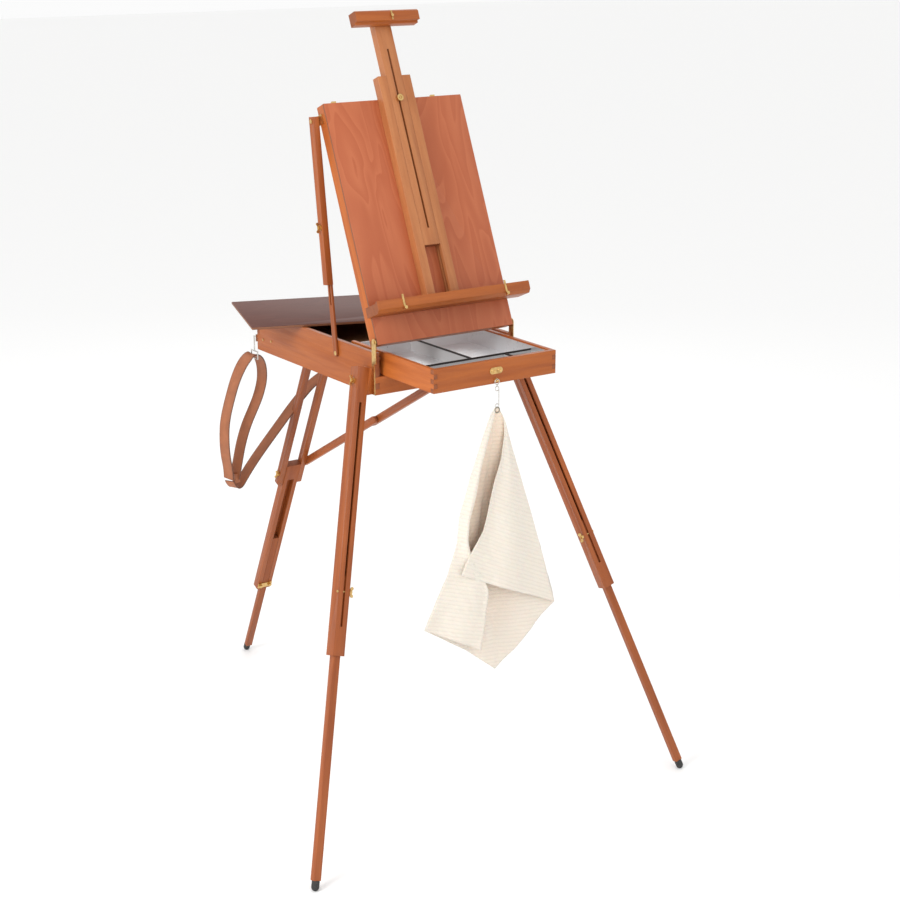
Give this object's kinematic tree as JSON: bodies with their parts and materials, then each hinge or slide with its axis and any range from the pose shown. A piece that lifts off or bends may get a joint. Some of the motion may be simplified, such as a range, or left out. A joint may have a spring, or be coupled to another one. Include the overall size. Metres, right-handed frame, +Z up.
{
  "type": "sketch-box easel",
  "caption": "Folding sketch-box easel on three telescopic legs, with a drawer, a tilting canvas support, a palette, a shoulder strap and a hanging towel.",
  "frame": {"origin": "on the floor, centre of the stance of the three feet", "axes": "+Z up, +X to the right of a painter facing the canvas, +Y away from the painter"},
  "size_m": [1.078, 1.311, 1.8501],
  "materials": {
    "beech": "oiled satin, red-brown stain",
    "plywood": "oiled plywood",
    "palette_wood": "dark oiled plywood",
    "brass": "polished",
    "zinc_sheet": "bright sheet metal",
    "rubber": "matt",
    "leather": "brown harness leather",
    "cotton": "waffle-weave cotton"
  },
  "bodies": {
    "box": {"box_sides": "beech", "box_front_rail": "beech", "box_back": "beech", "box_bottom": "plywood", "drawer_runners": "beech", "leg_wedges": "beech", "hinge_straps": "brass", "under_lugs": "brass", "box_fasteners": "brass", "strap_anchors": "brass", "strap_long": "leather", "strap_loop": "leather", "strap_buckle": "leather"},
    "drawer": {"drawer_front": "beech", "drawer_sides": "beech", "drawer_back": "beech", "drawer_bottom": "plywood", "drawer_liner": "zinc_sheet", "drawer_dividers": "zinc_sheet", "drawer_fittings": "brass"},
    "towel": {"towel": "cotton", "towel_ring": "brass"},
    "lid": {"lid_panel": "plywood", "lid_sides": "beech", "lid_rails": "beech", "mast_rails": "beech", "lid_fittings": "brass", "canvas_tray": "beech", "tray_clips": "brass"},
    "mast": {"mast": "beech", "head_bar": "beech", "head_clip": "brass"},
    "mast_knob": {"mast_knob": "brass"},
    "palette": {"palette": "palette_wood"},
    "rear_fork": {"rear_fork": "beech"},
    "rear_joint_bolt": {"rear_joint_bolt": "brass"},
    "rear_channel": {"rear_channel": "beech", "rear_fittings": "brass"},
    "rear_inner": {"rear_inner": "beech", "rear_tip": "rubber"},
    "brace_front": {"brace_front": "beech"},
    "brace_nut": {"brace_nut": "brass"},
    "brace_rear": {"brace_rear": "beech", "brace_bolt": "brass"},
    "strut_slat_left": {"strut_slat_left": "beech"},
    "strut_bar_left": {"strut_bar_left": "beech", "strut_bolt_left": "brass"},
    "strut_nut_left": {"strut_nut_left": "brass"},
    "leg_outer_left": {"leg_outer_left": "beech"},
    "leg_inner_left": {"leg_inner_left": "beech", "leg_tip_left": "rubber"},
    "leg_clamp_left": {"leg_clamp_left": "brass"},
    "strut_slat_right": {"strut_slat_right": "beech"},
    "strut_bar_right": {"strut_bar_right": "beech", "strut_bolt_right": "brass"},
    "strut_nut_right": {"strut_nut_right": "brass"},
    "leg_outer_right": {"leg_outer_right": "beech"},
    "leg_inner_right": {"leg_inner_right": "beech", "leg_tip_right": "rubber"},
    "leg_clamp_right": {"leg_clamp_right": "brass"}
  },
  "joints": [
    {"name": "drawer_slide", "type": "slide", "parent": "box", "child": "drawer", "axis": [0, 1, 0], "range_m": [-0.06, 0.201]},
    {"name": "towel_swing", "type": "hinge", "parent": "drawer", "child": "towel", "pos_m": [0, -0.583, 1.069], "axis": [0, 1, 0], "range_deg": [-30, 30]},
    {"name": "lid_tilt", "type": "hinge", "parent": "box", "child": "lid", "pos_m": [0, -0.376, 1.14], "axis": [-1, 0, 0], "range_deg": [-5.5, 50]},
    {"name": "mast_slide", "type": "slide", "parent": "lid", "child": "mast", "axis": [0, -0.3907, -0.9205], "range_m": [-0.29, 0.055]},
    {"name": "knob_turn", "type": "hinge", "parent": "lid", "child": "mast_knob", "pos_m": [0, -0.19304, 1.65549], "axis": [0, -0.9205, 0.3907], "continuous": true},
    {"name": "palette_lift", "type": "slide", "parent": "box", "child": "palette", "axis": [0, 0, -1], "range_m": [-0.15, 0]},
    {"name": "rear_fold", "type": "hinge", "parent": "box", "child": "rear_fork", "pos_m": [0, 0.1625, 1.037], "axis": [-1, 0, 0], "range_deg": [0, 98]},
    {"name": "rear_joint_turn", "type": "hinge", "parent": "rear_fork", "child": "rear_joint_bolt", "pos_m": [0, 0.36092, 0.61535], "axis": [1, 0, 0], "continuous": true},
    {"name": "rear_channel_fold", "type": "hinge", "parent": "rear_fork", "child": "rear_channel", "pos_m": [0, 0.36092, 0.61535], "axis": [1, 0, 0], "range_deg": [0, 153.62]},
    {"name": "rear_extend", "type": "slide", "parent": "rear_channel", "child": "rear_inner", "axis": [0, -0.4258, 0.9048], "range_m": [-0.03, 0.2]},
    {"name": "brace_swing", "type": "hinge", "parent": "box", "child": "brace_front", "pos_m": [0, -0.3555, 1.036], "axis": [1, 0, 0], "range_deg": [0, 25.49]},
    {"name": "brace_nut_turn", "type": "hinge", "parent": "brace_front", "child": "brace_nut", "pos_m": [0.0567, 0.0074, 0.83169], "axis": [1, 0, 0], "continuous": true},
    {"name": "brace_slide", "type": "slide", "parent": "brace_front", "child": "brace_rear", "axis": [0, -0.8714, 0.4906], "range_m": [0, 0.315]},
    {"name": "strut_swing_left", "type": "hinge", "parent": "box", "child": "strut_slat_left", "pos_m": [-0.193, -0.2135, 1.084], "axis": [-1, 0, 0], "range_deg": [-6.35, 55.27]},
    {"name": "strut_slide_left", "type": "slide", "parent": "strut_slat_left", "child": "strut_bar_left", "axis": [0, -0.131, -0.9914], "range_m": [-0.01588, 0.14028]},
    {"name": "strut_nut_turn_left", "type": "hinge", "parent": "strut_bar_left", "child": "strut_nut_left", "pos_m": [-0.206, -0.17535, 1.37281], "axis": [1, 0, 0], "continuous": true},
    {"name": "leg_fold_left", "type": "hinge", "parent": "box", "child": "leg_outer_left", "pos_m": [-0.2156, -0.3495, 1.048], "axis": [0.9572, 0, -0.2895], "range_deg": [0, 104]},
    {"name": "leg_extend_left", "type": "slide", "parent": "leg_outer_left", "child": "leg_inner_left", "axis": [0.2792, 0.2638, 0.9233], "range_m": [-0.03, 0.38]},
    {"name": "leg_clamp_turn_left", "type": "hinge", "parent": "leg_outer_left", "child": "leg_clamp_left", "pos_m": [-0.34742, -0.48522, 0.61217], "axis": [0.9572, 0, -0.2895], "continuous": true},
    {"name": "strut_swing_right", "type": "hinge", "parent": "box", "child": "strut_slat_right", "pos_m": [0.193, -0.2135, 1.084], "axis": [-1, 0, 0], "range_deg": [-6.35, 55.27]},
    {"name": "strut_slide_right", "type": "slide", "parent": "strut_slat_right", "child": "strut_bar_right", "axis": [0, -0.131, -0.9914], "range_m": [-0.01588, 0.14028]},
    {"name": "strut_nut_turn_right", "type": "hinge", "parent": "strut_bar_right", "child": "strut_nut_right", "pos_m": [0.206, -0.17535, 1.37281], "axis": [1, 0, 0], "continuous": true},
    {"name": "leg_fold_right", "type": "hinge", "parent": "box", "child": "leg_outer_right", "pos_m": [0.2156, -0.3495, 1.048], "axis": [0.9572, 0, 0.2895], "range_deg": [0, 104]},
    {"name": "leg_extend_right", "type": "slide", "parent": "leg_outer_right", "child": "leg_inner_right", "axis": [-0.2792, 0.2638, 0.9233], "range_m": [-0.03, 0.38]},
    {"name": "leg_clamp_turn_right", "type": "hinge", "parent": "leg_outer_right", "child": "leg_clamp_right", "pos_m": [0.34742, -0.48522, 0.61217], "axis": [0.9572, 0, 0.2895], "continuous": true}
  ],
  "couplings": [
    {"joint": "rear_channel_fold", "follows": "rear_fold", "ratio": 1.5625},
    {"joint": "brace_swing", "follows": "rear_fold", "ratio": 0.25503},
    {"joint": "brace_slide", "follows": "rear_fold", "m_per_rad": 0.18153},
    {"joint": "strut_swing_left", "follows": "lid_tilt", "ratio": 1.0995},
    {"joint": "strut_slide_left", "follows": "lid_tilt", "m_per_rad": 0.16018},
    {"joint": "strut_swing_right", "follows": "lid_tilt", "ratio": 1.0995},
    {"joint": "strut_slide_right", "follows": "lid_tilt", "m_per_rad": 0.16018}
  ]
}
